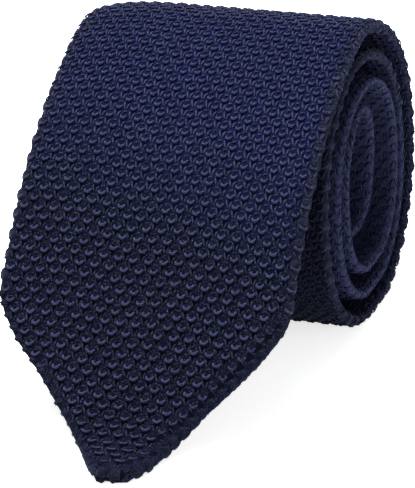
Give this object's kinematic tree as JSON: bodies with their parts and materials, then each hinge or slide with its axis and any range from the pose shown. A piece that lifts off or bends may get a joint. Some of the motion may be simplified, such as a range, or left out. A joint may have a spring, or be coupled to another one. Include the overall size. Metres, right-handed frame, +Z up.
{
  "type": "knit tie, rolled up",
  "caption": "Wide navy knit tie with a staggered tuck stitch, rolled up from its neck fold, with the pointed end laid out in front.",
  "frame": {"origin": "on the surface that the tie rests on, under the middle of its whole length and width", "axes": "+X along the roll to its right end, -Y towards the pointed tip, +Z up"},
  "size_m": [0.066, 0.1186, 0.067],
  "materials": {
    "navy_knit": "matte knit with a soft sheen",
    "navy_knit_shaded": "matte knit with a soft sheen"
  },
  "bodies": {
    "root": {"wide_blade": "navy_knit", "narrow_tail": "navy_knit_shaded"}
  },
  "joints": []
}
